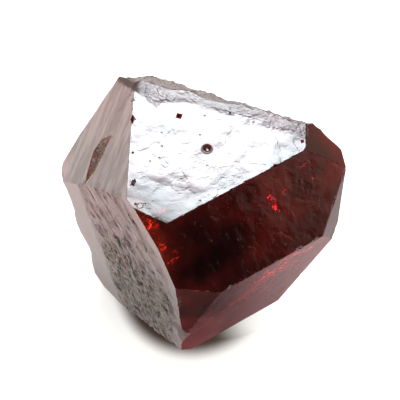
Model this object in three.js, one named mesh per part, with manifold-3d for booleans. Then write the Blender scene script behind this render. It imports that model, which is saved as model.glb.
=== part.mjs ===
// A loose zircon crystal with its broken ends, as one solid.
// Millimetres. +X runs along the four-fold axis, +Z is the normal of the large
// upper prism face, -Y is the normal of the narrow front prism face.
import * as THREE from "three";
import Module from "manifold-3d";

const wasm = await Module();
wasm.setup();

// ---------- driving dimensions ----------

// Cell ratio c/a of zircon, which fixes every angle between the faces.
const CELL_RATIO = 0.9054;

// Distances of the faces from the centre of the crystal.
const TOP_PRISM = 10.69;
const FRONT_PRISM = 8.89;
const BACK_PRISM = 9.1;
const REST_FACE = 10.72;
const FRONT_UPPER_SIDE = 10.77;
const BACK_UPPER_SIDE = 11.65;
const BACK_LOWER_SIDE = 9.3;
const STEEP_TOP = 12.75;
const STEEP_FRONT = 11.27;
const STEEP_BROKEN_CORNER = 12.7;
const LEFT_PYRAMID = 9.2;
const FRONT_LOW_PYRAMID = 5.8;

// Edge length of the block the faces are cut from.
const ROUGH_BLOCK = 60;

// Faces named by their Miller indices h, k, l.
const CRYSTAL_FACES = [
  { h: 1, k: 1, l: 0, distance: TOP_PRISM },
  { h: 1, k: -1, l: 0, distance: FRONT_PRISM },
  { h: -1, k: 1, l: 0, distance: BACK_PRISM },
  { h: -1, k: -1, l: 0, distance: REST_FACE },
  { h: 1, k: 0, l: 0, distance: FRONT_UPPER_SIDE },
  { h: 0, k: 1, l: 0, distance: BACK_UPPER_SIDE },
  { h: -1, k: 0, l: 0, distance: BACK_LOWER_SIDE },
  { h: 2, k: 1, l: 1, distance: STEEP_TOP },
  { h: 2, k: -1, l: 1, distance: STEEP_FRONT },
  { h: 2, k: 1, l: -1, distance: STEEP_BROKEN_CORNER },
  { h: 0, k: 1, l: -1, distance: LEFT_PYRAMID },
  { h: 0, k: -1, l: 1, distance: FRONT_LOW_PYRAMID },
];

// Flat breaks that belong to no crystal face: outward normal and a point on each.
const FLAT_BREAKS = [
  // The second, slightly turned part of the left pyramid face.
  { normal: [-0.727, 0.505, 0.464], through: [-4.25, 5.64, 7.09] },
  // The upper part of the back side, which leans in a little.
  { normal: [0, 0.9944, 0.105], through: [0, 9.09, 1.7] },
  // The small dull facet under the front edge, beside the broken end.
  { normal: [-0.343, -0.914, 0.218], through: [-4.06, -8.89, 5.93] },
  // The upright break that ends the steep upper face.
  { normal: [0.892, 0.451, 0], through: [6.95, -2.95, 10.4] },
  // The undercut break at the pointed end.
  { normal: [0.924, -0.291, -0.251], through: [7.7, -5.98, 8.96] },
  // The upright break behind the far slope.
  { normal: [0.785, 0.61, 0.02], through: [5.1, 3.3, 6.6] },
  // The uneven lower front side, from the front prism face down to the base.
  { normal: [0, -0.847, -0.532], through: [0, -8.89, -1.36] },
  // The corner between that side and the broken end.
  { normal: [-0.6, -0.588, -0.542], through: [-7.3, -3.45, -5.83] },
  // Two undercuts along the bottom of the broken end.
  { normal: [-0.6, -0.443, -0.666], through: [-7.3, -0.4, -8.45] },
  { normal: [-0.6, 0, -0.8], through: [-7.3, 1.8, -9.78] },
];

// The broken end: nearly square to the four-fold axis.
const BROKEN_END = {
  normal: [-0.997, -0.0506, 0.0591],
  distance: 7.29,
  width: 26,
  height: 30,
  columns: 74,
  rows: 88,
};
const BROKEN_LEDGE_HEIGHT = 0.14;
const BROKEN_LEDGE_PITCH = 1.35;
const BROKEN_GRAIN = 0.09;
const BROKEN_LIP = 0.12;

// The far broken slope: a knobbly fracture seen edge on from the front.
const FAR_BREAK = {
  normal: [0.598, 0.545, 0.588],
  distance: 8.55,
  width: 30,
  height: 26,
  columns: 60,
  rows: 52,
};
const FAR_KNOB = 0.2;

// The deep break on the hidden lower back side, as a [y, z] outline.
const BACK_BREAK = [
  [9.7, 0.4], [8.3, 0.03], [8.0, -0.3], [7.5, -0.2], [7.0, 0.1], [6.4, -0.25],
  [5.7, -1.25], [5.3, -2.1], [5.3, -2.5], [5.45, -3.15], [5.3, -3.85], [4.8, -4.5],
  [4.2, -4.9], [3.4, -5.2], [3.1, -5.7], [3.1, -7.6], [2.8, -8.7], [2.1, -9.4],
  [2.0, -11.2], [9.7, -11.2],
];
const BACK_BREAK_START = -9;
const BACK_BREAK_LENGTH = 14;
// How far the outline moves out, and as far down, for each millimetre along the axis.
const BACK_BREAK_RUNOUT = 0.42;

// ---------- helpers ----------

/** Turns a geometry into a solid, joining the points that share a position. */
function solidFrom(geometry) {
  const position = geometry.getAttribute("position");
  const index = geometry.getIndex();
  const seen = new Map();
  const points = [];
  const corners = [];
  const count = index ? index.count : position.count;
  for (let i = 0; i < count; i += 1) {
    const source = index ? index.getX(i) : i;
    const point = new THREE.Vector3().fromBufferAttribute(position, source);
    const key = point.toArray().map((value) => Math.round(value * 1e5)).join(",");
    if (!seen.has(key)) {
      seen.set(key, points.length / 3);
      points.push(point.x, point.y, point.z);
    }
    corners.push(seen.get(key));
  }
  const triangles = [];
  for (let i = 0; i < corners.length; i += 3) {
    const [a, b, c] = corners.slice(i, i + 3);
    if (a !== b && b !== c && c !== a) {
      triangles.push(a, b, c);
    }
  }
  return new wasm.Manifold(new wasm.Mesh({
    numProp: 3,
    vertProperties: new Float32Array(points),
    triVerts: new Uint32Array(triangles),
  }));
}

/** Outward normal of the face h k l, with the top prism face facing +Z. */
function faceNormal(h, k, l) {
  return new THREE.Vector3(l / CELL_RATIO, (k - h) / Math.SQRT2, (h + k) / Math.SQRT2)
    .normalize();
}

/** Turns a geometry's +Z to the normal and moves its origin to the point. */
function placeOnPlane(geometry, normal, point) {
  const up = Math.abs(normal.z) > 0.95
    ? new THREE.Vector3(0, 1, 0)
    : new THREE.Vector3(0, 0, 1);
  const across = new THREE.Vector3().crossVectors(up, normal).normalize();
  const along = new THREE.Vector3().crossVectors(normal, across);
  const turn = new THREE.Matrix4().makeBasis(across, along, normal);
  turn.setPosition(point);
  geometry.applyMatrix4(turn);
  return geometry;
}

/** A block that fills the outer side of a plane. */
function outerBlock(normal, point) {
  const block = new THREE.BoxGeometry(ROUGH_BLOCK, ROUGH_BLOCK, ROUGH_BLOCK);
  block.translate(0, 0, ROUGH_BLOCK / 2);
  return solidFrom(placeOnPlane(block, normal, point));
}

/** Repeatable value between 0 and 1 for a pair of whole numbers. */
function hash(i, j, seed) {
  const value = Math.sin(i * 127.1 + j * 311.7 + seed * 74.7) * 43758.5453;
  return value - Math.floor(value);
}

/** Smooth noise between -1 and 1 with one feature per unit. */
function noise(x, y, seed) {
  const i = Math.floor(x);
  const j = Math.floor(y);
  const u = THREE.MathUtils.smoothstep(x - i, 0, 1);
  const v = THREE.MathUtils.smoothstep(y - j, 0, 1);
  const low = THREE.MathUtils.lerp(hash(i, j, seed), hash(i + 1, j, seed), u);
  const high = THREE.MathUtils.lerp(hash(i, j + 1, seed), hash(i + 1, j + 1, seed), u);
  return 2 * THREE.MathUtils.lerp(low, high, v) - 1;
}

/** A block whose lower side follows a height function of its own two axes. */
function roughBlock(plane, heightAt) {
  const { width, height, columns, rows } = plane;
  const block = new THREE.BoxGeometry(width, height, 12, columns, rows, 1);
  block.translate(0, 0, 6);
  const position = block.getAttribute("position");
  for (let i = 0; i < position.count; i += 1) {
    if (position.getZ(i) < 6) {
      position.setZ(i, heightAt(position.getX(i), position.getY(i)));
    }
  }
  const normal = new THREE.Vector3(...plane.normal).normalize();
  return solidFrom(placeOnPlane(block, normal, normal.clone().multiplyScalar(plane.distance)));
}

// ---------- surfaces of the breaks ----------

/** How far a spot lies inside a round dent, from 1 at its middle to 0 at its rim. */
function dent(y, z, centre, radiusY, radiusZ) {
  const reach = Math.hypot((y - centre[0]) / radiusY, (z - centre[1]) / radiusZ);
  return 1 - THREE.MathUtils.smoothstep(reach, 0.25, 1);
}

/** Height of the broken end over its plane; across is -Y and along is +Z. */
function brokenEndHeight(across, along) {
  const y = -across;
  const z = along;
  // Ledges run along Y and dip slightly to the front.
  const ledgeAxis = (z - 0.16 * y + 0.5 * noise(y * 0.35, z * 0.2, 3)) / BROKEN_LEDGE_PITCH;
  const place = ledgeAxis - Math.floor(ledgeAxis);
  const riser = THREE.MathUtils.smoothstep(place, 0.72, 1);
  // The upper front margin is smooth, so the ledges fade out towards it.
  const margin = THREE.MathUtils.smoothstep(0.8 * y - 0.6 * z + 9.2, 0, 2.2);
  const ledge = BROKEN_LEDGE_HEIGHT * margin * (riser - place + 0.4);
  const streak = 0.05 * margin * noise(y * 0.5, z * 3.2, 7);
  // The lower back part is a smooth raised lip behind a low step.
  const lipSide = 0.85 * (y - 1.0) - 0.5 * (z + 4.0);
  const lip = THREE.MathUtils.smoothstep(lipSide, -0.2, 0.35);
  const grainZone = (1 - lip) * margin * (1 - THREE.MathUtils.smoothstep(z + 0.5 * y, 1.5, 4.5));
  const grain = BROKEN_GRAIN * grainZone
    * (noise(y * 1.7, z * 1.7, 11) + noise(y * 3.4, z * 3.4, 13));
  const pit = -0.5 * dent(y, z, [-1.45, 4.0], 0.85, 0.55);
  const slit = -0.35 * dent(y + 0.9 * (z - 6.9), z, [-3.4, 6.9], 0.35, 0.7);
  const crack = -0.3 * dent(y - 0.7 * (z - 3.7), z, [-6.6, 3.7], 0.3, 1.0);
  const notch = -0.8 * dent(y, z, [-8.2, 1.5], 1.0, 0.75);
  return ledge * (1 - lip) + streak * (1 - lip) + BROKEN_LIP * lip
    + grain + pit + slit + crack + notch;
}

/** Height of the far slope over its plane: rounded knobs in two sizes. */
function farBreakHeight(across, along) {
  const large = noise(across * 0.55, along * 0.45, 21);
  const small = noise(across * 1.3, along * 1.1, 23);
  // The slope sags towards the back of the left pyramid face.
  const sag = -0.35 * THREE.MathUtils.smoothstep(across, 5.4, 7.8);
  return FAR_KNOB * (0.65 * large + 0.35 * small) + sag;
}

// ---------- small marks ----------

// Small marks cut into a face: where each lies, its size and how deep it goes.
const SQUARE_PITS = [
  { at: [-0.55, 1.97, TOP_PRISM], radius: 0.27, depth: 0.26 },
  { at: [-6.3, -2.3, TOP_PRISM], radius: 0.12, depth: 0.12 },
  { at: [2.5, 0.4, TOP_PRISM], radius: 0.12, depth: 0.08 },
];
const ROUND_PITS = [
  { at: [-0.2, -1.11, TOP_PRISM], radius: 0.3, depth: 0.17 },
];
const RING_MARKS = [
  { at: [-3.23, -0.8, TOP_PRISM], radius: 0.19 },
  { at: [-3.72, -1.11, TOP_PRISM], radius: 0.21 },
  { at: [-6.12, -2.58, TOP_PRISM], radius: 0.2 },
];
const SCRATCHES = [
  { from: [1.36, -3.35], to: [2.41, -4.15], width: 0.1 },
  { from: [-3.16, 1.99], to: [-2.68, 0.81], width: 0.08 },
];
// Chips along the sharp edges of the top face, as [x, y] with a radius.
const EDGE_CHIPS = [
  [-3.36, 3.41, 0.3], [-2.66, 4.75, 0.28], [-4.6, 1.1, 0.12], [-5.7, -0.9, 0.12],
  [4.3, -4.62, 0.16], [2.9, -4.6, 0.2], [0.7, -4.62, 0.17], [-0.4, -4.6, 0.14],
  [-2.9, -4.62, 0.15], [5.5, -3.9, 0.16],
];

// Outline of the gouge on the left pyramid face, seen square on.
const GOUGE_OUTLINE = [
  [-0.57, 2.02], [-1.04, 0.41], [-0.81, -0.95], [-0.28, -1.39], [0.75, -1.9],
  [1.22, -2.2], [1.0, -1.1], [0.95, -0.4], [0.54, 0.1], [0.32, 0.73], [-0.15, 1.3],
];
const GOUGE_CENTRE = [-5.6, 4.55, 5.87];
const GOUGE_DEPTH = 0.24;

/** The gouge: a shallow trough with sloping walls and a pointed upper end. */
function gouge() {
  const shape = new THREE.Shape(GOUGE_OUTLINE.map(([x, y]) => new THREE.Vector2(x, y)));
  const trough = new THREE.ExtrudeGeometry(shape, {
    depth: 1,
    bevelSegments: 1,
    bevelThickness: GOUGE_DEPTH,
    bevelSize: 0.16,
    bevelOffset: -0.08,
  });
  return placeOnPlane(trough, faceNormal(0, 1, -1), new THREE.Vector3(...GOUGE_CENTRE));
}

/** Every small mark of the top face as solids to take away. */
function topMarks() {
  const marks = [];
  for (const { at, radius, depth } of SQUARE_PITS) {
    const pit = new THREE.ConeGeometry(radius * 2, depth * 2, 4);
    pit.rotateX(-Math.PI / 2);
    marks.push(pit.translate(...at));
  }
  for (const { at, radius, depth } of ROUND_PITS) {
    const pit = new THREE.SphereGeometry(radius, 14, 8);
    pit.scale(1, 1, depth / radius);
    marks.push(pit.translate(...at));
  }
  for (const { at, radius } of RING_MARKS) {
    const ring = new THREE.TorusGeometry(radius, 0.05, 4, 14);
    marks.push(ring.translate(...at));
  }
  for (const { from, to, width } of SCRATCHES) {
    const start = new THREE.Vector2(...from);
    const end = new THREE.Vector2(...to);
    const length = start.distanceTo(end);
    const groove = new THREE.CylinderGeometry(width / 2, width / 2, length, 4);
    groove.rotateZ(end.clone().sub(start).angle() - Math.PI / 2);
    const middle = start.add(end).multiplyScalar(0.5);
    marks.push(groove.translate(middle.x, middle.y, TOP_PRISM));
  }
  for (const [x, y, radius] of EDGE_CHIPS) {
    const chip = new THREE.OctahedronGeometry(radius, 0);
    chip.rotateZ(x * 2.1);
    marks.push(chip.translate(x, y, TOP_PRISM));
  }
  return marks;
}

/** The deep break on the lower back side, which tapers out towards the pointed end. */
function backBreak() {
  const shape = new THREE.Shape(BACK_BREAK.map(([y, z]) => new THREE.Vector2(y, z)));
  const block = new THREE.ExtrudeGeometry(shape, {
    depth: BACK_BREAK_LENGTH,
    bevelEnabled: false,
  });
  // The outline's own X and Y become +Y and +Z, and its depth runs out along +X.
  block.applyMatrix4(new THREE.Matrix4().makeBasis(
    new THREE.Vector3(0, 1, 0),
    new THREE.Vector3(0, 0, 1),
    new THREE.Vector3(1, BACK_BREAK_RUNOUT, -BACK_BREAK_RUNOUT),
  ));
  return block.translate(BACK_BREAK_START, 0, 0);
}

/** Cuts the whole crystal from a block, centred on its own centre. */
function buildCrystal() {
  const start = new THREE.BoxGeometry(ROUGH_BLOCK / 2, ROUGH_BLOCK / 2, ROUGH_BLOCK / 2);
  let crystal = solidFrom(start);
  for (const { h, k, l, distance } of CRYSTAL_FACES) {
    const normal = faceNormal(h, k, l);
    crystal = crystal.subtract(outerBlock(normal, normal.clone().multiplyScalar(distance)));
  }
  for (const { normal, through } of FLAT_BREAKS) {
    const direction = new THREE.Vector3(...normal).normalize();
    crystal = crystal.subtract(outerBlock(direction, new THREE.Vector3(...through)));
  }
  crystal = crystal.subtract(solidFrom(backBreak()));
  crystal = crystal.subtract(roughBlock(BROKEN_END, brokenEndHeight));
  crystal = crystal.subtract(roughBlock(FAR_BREAK, farBreakHeight));
  for (const mark of [gouge(), ...topMarks()]) {
    crystal = crystal.subtract(solidFrom(mark));
  }
  return crystal;
}

/** Makes a three.js geometry from a solid, resting on Z = 0 and centred in X and Y. */
function geometryFrom(solid) {
  const mesh = solid.getMesh();
  const geometry = new THREE.BufferGeometry();
  const points = new Float32Array(mesh.vertProperties);
  geometry.setAttribute("position", new THREE.BufferAttribute(points, 3));
  geometry.setIndex(new THREE.BufferAttribute(new Uint32Array(mesh.triVerts), 1));
  geometry.computeBoundingBox();
  const { min, max } = geometry.boundingBox;
  geometry.translate(-(min.x + max.x) / 2, -(min.y + max.y) / 2, -min.z);
  const flat = geometry.toNonIndexed();
  flat.computeVertexNormals();
  return flat;
}

const zirconMaterial = new THREE.MeshStandardMaterial({
  color: 0x4a1712,
  roughness: 0.12,
  metalness: 0,
});

const zircon = new THREE.Mesh(geometryFrom(buildCrystal()), zirconMaterial);
zircon.name = "zircon_crystal";

const part = new THREE.Group();
part.name = "zircon_crystal_specimen";
part.add(zircon);

export default part;
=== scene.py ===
"""Looks of a loose zircon crystal: one see-through, brown-red stone with broken ends."""

import logging
import math
from dataclasses import dataclass, field
from enum import Enum, IntEnum

import bpy
import numpy as np
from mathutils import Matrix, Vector


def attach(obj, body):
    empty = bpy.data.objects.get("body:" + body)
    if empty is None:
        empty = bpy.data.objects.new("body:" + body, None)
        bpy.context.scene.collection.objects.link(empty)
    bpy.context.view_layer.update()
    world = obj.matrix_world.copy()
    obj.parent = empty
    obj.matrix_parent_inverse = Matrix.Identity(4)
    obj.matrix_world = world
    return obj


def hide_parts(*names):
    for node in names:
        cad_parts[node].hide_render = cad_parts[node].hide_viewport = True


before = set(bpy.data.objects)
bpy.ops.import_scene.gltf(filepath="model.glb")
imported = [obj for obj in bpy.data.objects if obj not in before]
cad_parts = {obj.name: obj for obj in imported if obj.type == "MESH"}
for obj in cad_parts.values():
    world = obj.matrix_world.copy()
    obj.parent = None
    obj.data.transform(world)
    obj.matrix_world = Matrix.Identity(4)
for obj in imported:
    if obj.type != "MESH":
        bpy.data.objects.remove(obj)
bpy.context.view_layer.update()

LOG = logging.getLogger("zircon")
MM = 0.001

Array = np.ndarray
Colour = tuple[float, float, float]
Triple = tuple[float, float, float]

# Zircon's cell height over its width, and the crystal's own centre in millimetres.
CELL_RATIO = 0.9054
CENTRE: Triple = (0.052, -0.105, 10.72)

# Outward direction of the end break and of the left face, and the run of their streaks.
END_OUT: Triple = (-0.997, -0.0506, 0.0591)
END_RUN: Triple = (0.0, -0.96, -0.27)
LEFT_OUT: Triple = (-0.740, 0.474, 0.474)
LEFT_RUN: Triple = (-0.654, -0.351, -0.669)

# Azimuth and elevation of the main camera in degrees.
CAMERA_AZIMUTH = -30.76
CAMERA_ELEVATION = 63.06


class Surface(Enum):
    """What made a stretch of the crystal's surface."""

    FACE = 0
    END_BREAK = 1
    FAR_BREAK = 2
    HIDDEN_BREAK = 3
    MARK = 4


class Seed(IntEnum):
    """Numbers that fix each noise pattern."""

    GRAIN_PATCH = 5
    LEDGE_STREAKS = 31
    FINE_STREAKS = 33
    LEDGE_CHIPS = 35
    END_GRAIN = 41
    LUMPS = 51
    SMALL_LUMPS = 53
    SLOPE_GRAIN = 55
    HIDDEN_BREAKS = 61
    LARGE_NICKS = 71
    SMALL_NICKS = 73
    STAIN = 81
    RIM = 83
    FINE_RIM = 85
    WEAR = 87
    MARGIN = 91
    OUTLINE = 93
    DARK = 97
    FINE_DARK = 99
    PAINTED_GLOW = 101
    PAINTED_GLOW_FLECKS = 103


# ---------------------------------------------------------------- numpy tools


def unit(vector: Triple | Array) -> Array:
    """Scale a vector to length one.

    Args:
        vector: any vector but zero.

    Returns:
        The same direction with length one.
    """
    array = np.asarray(vector, dtype=float)
    return array / np.linalg.norm(array)


def face_normal(h: int, k: int, l: int) -> Array:
    """Outward normal of a crystal face, with the large upper prism face up.

    The normal is (l over c/a, (k - h) over root 2, (h + k) over root 2), scaled to one.

    Args:
        h: first Miller index.
        k: second Miller index.
        l: third Miller index.

    Returns:
        The unit normal.
    """
    return unit((l / CELL_RATIO, (k - h) / math.sqrt(2), (h + k) / math.sqrt(2)))


def ramp(value: Array, low: float, high: float) -> Array:
    """Smooth step from 0 at low to 1 at high: t squared times (3 - 2 t).

    Args:
        value: values to map.
        low: value that gives 0.
        high: value that gives 1; it may be the smaller of the two.

    Returns:
        Values from 0 to 1.
    """
    t = np.clip((value - low) / (high - low), 0.0, 1.0)
    return t * t * (3.0 - 2.0 * t)


def lattice_value(cells: Array, seed: int) -> Array:
    """Repeatable value from -1 to 1 for each whole-number lattice point.

    The three indices and the seed are mixed by multiplying and xor-shifting.

    Args:
        cells: whole numbers, one row of three per point.
        seed: number that picks the pattern.

    Returns:
        One value per row.
    """
    c = cells.astype(np.int64).astype(np.uint64)
    h = c[..., 0] * np.uint64(73856093) ^ c[..., 1] * np.uint64(19349663)
    h = h ^ c[..., 2] * np.uint64(83492791) ^ np.uint64(seed * 2654435761)
    h = (h ^ (h >> np.uint64(13))) * np.uint64(0x9E3779B97F4A7C15)
    h = (h ^ (h >> np.uint64(31))) * np.uint64(0xBF58476D1CE4E5B9)
    h = h ^ (h >> np.uint64(29))
    return (h & np.uint64(0xFFFFFF)).astype(float) / 8388607.5 - 1.0


def noise(points: Array, seed: int) -> Array:
    """Smooth noise from -1 to 1 with one feature per unit of length.

    Each value is blended from the eight lattice points round it, with the smooth
    step t squared times (3 - 2 t) along each axis.

    Args:
        points: one row of three coordinates per point.
        seed: number that picks the pattern.

    Returns:
        One value per row.
    """
    base = np.floor(points)
    t = points - base
    t = t * t * (3.0 - 2.0 * t)
    total = np.zeros(len(points))
    for corner in np.ndindex(2, 2, 2):
        weight = np.prod(np.where(np.array(corner), t, 1.0 - t), axis=1)
        total += weight * lattice_value(base + np.array(corner), seed)
    return total


def layered(points: Array, seed: int, layers: int) -> Array:
    """Sum of noise layers, each twice as fine and half as strong as the last.

    Args:
        points: one row of three coordinates per point.
        seed: number that picks the pattern.
        layers: how many layers to add.

    Returns:
        One value per row, about -1 to 1.
    """
    total = np.zeros(len(points))
    for layer in range(layers):
        total += noise(points * 2.0**layer, seed + 17 * layer) / 2.0**layer
    return total / (2.0 - 2.0 ** (1 - layers))


@dataclass
class Skin:
    """A closed triangle mesh as plain arrays.

    Attributes:
        points: corner positions in millimetres.
        triangles: three point numbers per triangle.
        kind: the Surface value of each triangle.
    """

    points: Array
    triangles: Array
    kind: Array

    def triangle_normals(self) -> Array:
        """Cross product of two sides of each triangle, scaled to length one."""
        a, b, c = (self.points[self.triangles[:, i]] for i in range(3))
        cross = np.cross(b - a, c - a)
        return cross / np.maximum(np.linalg.norm(cross, axis=1), 1e-12)[:, None]

    def split_long_edges(self, allowed: Array) -> bool:
        """Halve each side that is longer than its triangle allows.

        A side is cut once for both triangles that share it, so the mesh stays
        closed. A triangle with one, two or three cut sides becomes two, three or four.

        Args:
            allowed: longest side per triangle.

        Returns:
            Whether any side was cut.
        """
        tri = self.triangles
        sides = np.stack([tri, np.roll(tri, -1, axis=1)], axis=2)
        flat = np.sort(sides.reshape(-1, 2), axis=1)
        unique, which = np.unique(flat, axis=0, return_inverse=True)
        which = which.reshape(-1, 3)
        length = np.linalg.norm(self.points[unique[:, 0]] - self.points[unique[:, 1]], axis=1)
        limit = np.full(len(unique), np.inf)
        np.minimum.at(limit, which.ravel(), np.repeat(allowed, 3))
        cut = length > limit
        if not cut.any():
            return False
        middle = np.full(len(unique), -1)
        middle[cut] = len(self.points) + np.arange(cut.sum())
        self.points = np.vstack([self.points, self.points[unique[cut]].mean(axis=1)])
        mids = middle[which]
        marked = mids >= 0
        # Turn each triangle so that its cut sides come first.
        turn = np.zeros(len(tri), dtype=int)
        count = marked.sum(axis=1)
        turn[count == 1] = np.argmax(marked[count == 1], axis=1)
        turn[count == 2] = (np.argmin(marked[count == 2], axis=1) + 1) % 3
        order = (np.arange(3)[None, :] + turn[:, None]) % 3
        a, b, c = np.take_along_axis(tri, order, axis=1).T
        ab, bc, ca = np.take_along_axis(mids, order, axis=1).T
        pieces = []
        kinds = []
        patterns = {
            0: [(a, b, c)],
            1: [(a, ab, c), (ab, b, c)],
            2: [(ab, b, bc), (a, ab, c), (ab, bc, c)],
            3: [(a, ab, ca), (ab, b, bc), (ca, bc, c), (ab, bc, ca)],
        }
        for number, corners in patterns.items():
            chosen = count == number
            for corner in corners:
                pieces.append(np.stack([side[chosen] for side in corner], axis=1))
                kinds.append(self.kind[chosen])
        self.triangles = np.vstack(pieces)
        self.kind = np.concatenate(kinds)
        return True


# ---------------------------------------------------------------- node tools


def add_node(tree: bpy.types.NodeTree, kind: str, **settings: object) -> bpy.types.Node:
    """Add a node and set its properties.

    Args:
        tree: tree to add to.
        kind: the node's type name.
        settings: property names and values.

    Returns:
        The new node.
    """
    node = tree.nodes.new(kind)
    for name, value in settings.items():
        setattr(node, name, value)
    return node


def math_node(
    tree: bpy.types.NodeTree, operation: str, first: object, second: object = 0.0
) -> bpy.types.NodeSocket:
    """Add a Math node whose inputs are sockets or numbers.

    Args:
        tree: tree to add to.
        operation: the Math operation.
        first: socket or number.
        second: socket or number.

    Returns:
        The node's output.
    """
    node = add_node(tree, "ShaderNodeMath", operation=operation)
    for index, value in enumerate((first, second)):
        if isinstance(value, bpy.types.NodeSocket):
            tree.links.new(value, node.inputs[index])
        else:
            node.inputs[index].default_value = value
    return node.outputs[0]


def mix_colours(
    tree: bpy.types.NodeTree,
    factor: bpy.types.NodeSocket,
    first: object,
    second: object,
) -> bpy.types.NodeSocket:
    """Blend two colours by a factor.

    Args:
        tree: tree to add to.
        factor: 0 gives the first colour and 1 the second.
        first: socket or colour.
        second: socket or colour.

    Returns:
        The blended colour.
    """
    node = add_node(tree, "ShaderNodeMix", data_type="RGBA")
    tree.links.new(factor, node.inputs["Factor"])
    for socket, value in ((node.inputs[6], first), (node.inputs[7], second)):
        if isinstance(value, bpy.types.NodeSocket):
            tree.links.new(value, socket)
        else:
            socket.default_value = (*value, 1.0)
    return node.outputs[2]


def noise_node(
    tree: bpy.types.NodeTree,
    place: bpy.types.NodeSocket,
    scale: float,
    detail: float,
    roughness: float,
) -> bpy.types.NodeSocket:
    """Add a noise texture.

    Args:
        tree: tree to add to.
        place: position in millimetres.
        scale: features per millimetre.
        detail: how many finer layers.
        roughness: strength of each finer layer against the last.

    Returns:
        The noise value.
    """
    node = add_node(tree, "ShaderNodeTexNoise")
    node.inputs["Scale"].default_value = scale
    node.inputs["Detail"].default_value = detail
    node.inputs["Roughness"].default_value = roughness
    tree.links.new(place, node.inputs["Vector"])
    return node.outputs["Fac"]


def step_node(
    tree: bpy.types.NodeTree, value: bpy.types.NodeSocket, low: float, high: float
) -> bpy.types.NodeSocket:
    """Smooth step of a value, from 0 at low to 1 at high.

    Args:
        tree: tree to add to.
        value: the value to map.
        low: value that gives 0.
        high: value that gives 1; it may be the smaller of the two.

    Returns:
        The mapped value.
    """
    node = add_node(tree, "ShaderNodeMapRange", interpolation_type="SMOOTHSTEP")
    rising = low < high
    node.inputs["From Min"].default_value = min(low, high)
    node.inputs["From Max"].default_value = max(low, high)
    node.inputs["To Min"].default_value = 0.0 if rising else 1.0
    node.inputs["To Max"].default_value = 1.0 if rising else 0.0
    tree.links.new(value, node.inputs["Value"])
    return node.outputs["Result"]


def run_place(
    tree: bpy.types.NodeTree,
    place: bpy.types.NodeSocket,
    run: Triple,
    outward: Triple,
    squeeze: float,
) -> bpy.types.NodeSocket:
    """Position measured along a run, across it and outward.

    The measure along the run is shortened, so noise read there is drawn out along it.

    Args:
        tree: tree to add to.
        place: position in millimetres.
        run: direction of the streaks.
        outward: direction out of the surface, square to the run.
        squeeze: what the measure along the run is multiplied by.

    Returns:
        The new position.
    """
    joined = add_node(tree, "ShaderNodeCombineXYZ")
    axes = (squeeze * unit(run), unit(np.cross(outward, run)), unit(outward))
    for index, axis in enumerate(axes):
        dot = add_node(tree, "ShaderNodeVectorMath", operation="DOT_PRODUCT")
        dot.inputs[1].default_value = tuple(axis)
        tree.links.new(place, dot.inputs[0])
        tree.links.new(dot.outputs["Value"], joined.inputs[index])
    return joined.outputs["Vector"]


def object_place(tree: bpy.types.NodeTree, per_millimetre: float) -> bpy.types.NodeSocket:
    """Position on the object, in millimetres times a factor.

    Args:
        tree: tree to add to.
        per_millimetre: the factor.

    Returns:
        The position.
    """
    coordinates = add_node(tree, "ShaderNodeTexCoord")
    mapping = add_node(tree, "ShaderNodeMapping")
    mapping.inputs["Scale"].default_value = (per_millimetre / MM,) * 3
    tree.links.new(coordinates.outputs["Object"], mapping.inputs["Vector"])
    return mapping.outputs["Vector"]


def add_object(name: str, data: bpy.types.ID) -> bpy.types.Object:
    """Put a mesh, light or camera into the scene.

    Args:
        name: the new object's name.
        data: what it shows.

    Returns:
        The new object.
    """
    thing = bpy.data.objects.new(name, data)
    bpy.context.scene.collection.objects.link(thing)
    return thing


def mask_from(tree: bpy.types.NodeTree, name: str) -> bpy.types.NodeSocket:
    """Read one of the piece's own masks.

    Args:
        tree: tree to add to.
        name: the mask's attribute name.

    Returns:
        The mask as a value.
    """
    node = add_node(tree, "ShaderNodeAttribute", attribute_name=name)
    return node.outputs["Fac"]


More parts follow.
